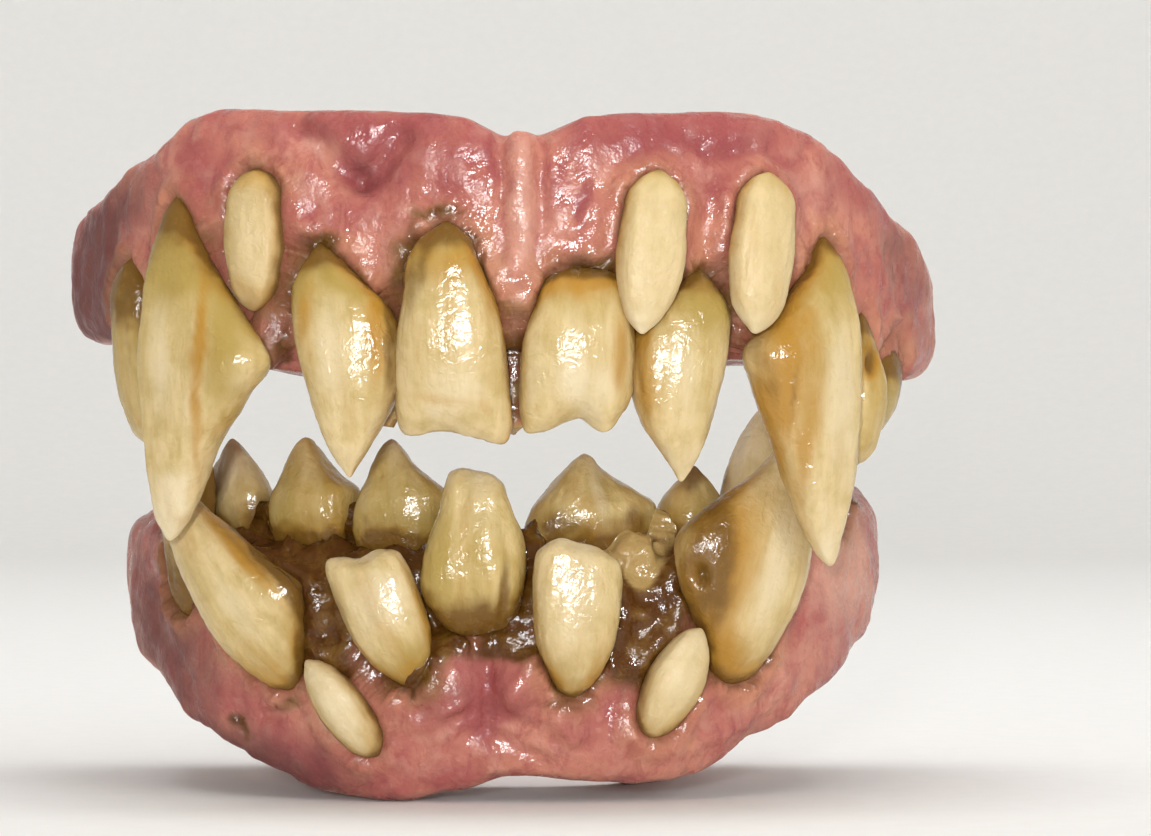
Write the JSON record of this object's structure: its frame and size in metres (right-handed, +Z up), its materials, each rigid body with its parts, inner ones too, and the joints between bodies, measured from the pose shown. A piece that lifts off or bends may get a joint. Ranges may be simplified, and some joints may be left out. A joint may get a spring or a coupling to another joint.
{
  "type": "false teeth",
  "caption": "Costume false teeth: an upper and a lower horseshoe gum plate, each an open trough that slips over the wearer's teeth, set with long, crooked, stained fangs.",
  "frame": {"origin": "middle of the footprint, on the surface that the lower plate rests on", "axes": "+X to the right as seen from the front, +Y towards the back of the mouth, +Z up"},
  "size_m": [0.0698, 0.0402, 0.0526],
  "materials": {
    "gum": "wet gloss",
    "enamel": "stained gloss"
  },
  "bodies": {
    "lower_plate": {"lower_gum": "gum", "lower_back_central_left": "enamel", "lower_back_lateral_left": "enamel", "lower_back_right": "enamel", "lower_canine_left": "enamel", "lower_canine_right": "enamel", "lower_central": "enamel", "lower_front_left": "enamel", "lower_front_right": "enamel", "lower_gum_peg_left": "enamel", "lower_gum_peg_right": "enamel", "lower_molar_left": "enamel", "lower_molar_right": "enamel", "lower_premolar_left": "enamel", "lower_premolar_right": "enamel", "lower_stub_right": "enamel"},
    "upper_plate": {"upper_gum": "gum", "upper_canine_left": "enamel", "upper_canine_right": "enamel", "upper_central_left": "enamel", "upper_central_right": "enamel", "upper_gum_peg_left": "enamel", "upper_gum_peg_mid": "enamel", "upper_gum_peg_right": "enamel", "upper_lateral_left": "enamel", "upper_lateral_right": "enamel", "upper_molar_left": "enamel", "upper_molar_right": "enamel", "upper_premolar_right": "enamel"}
  },
  "joints": [
    {"name": "bite_open", "type": "slide", "parent": "lower_plate", "child": "upper_plate", "axis": [0, 0, 1], "range_m": [0, 0.04]}
  ]
}
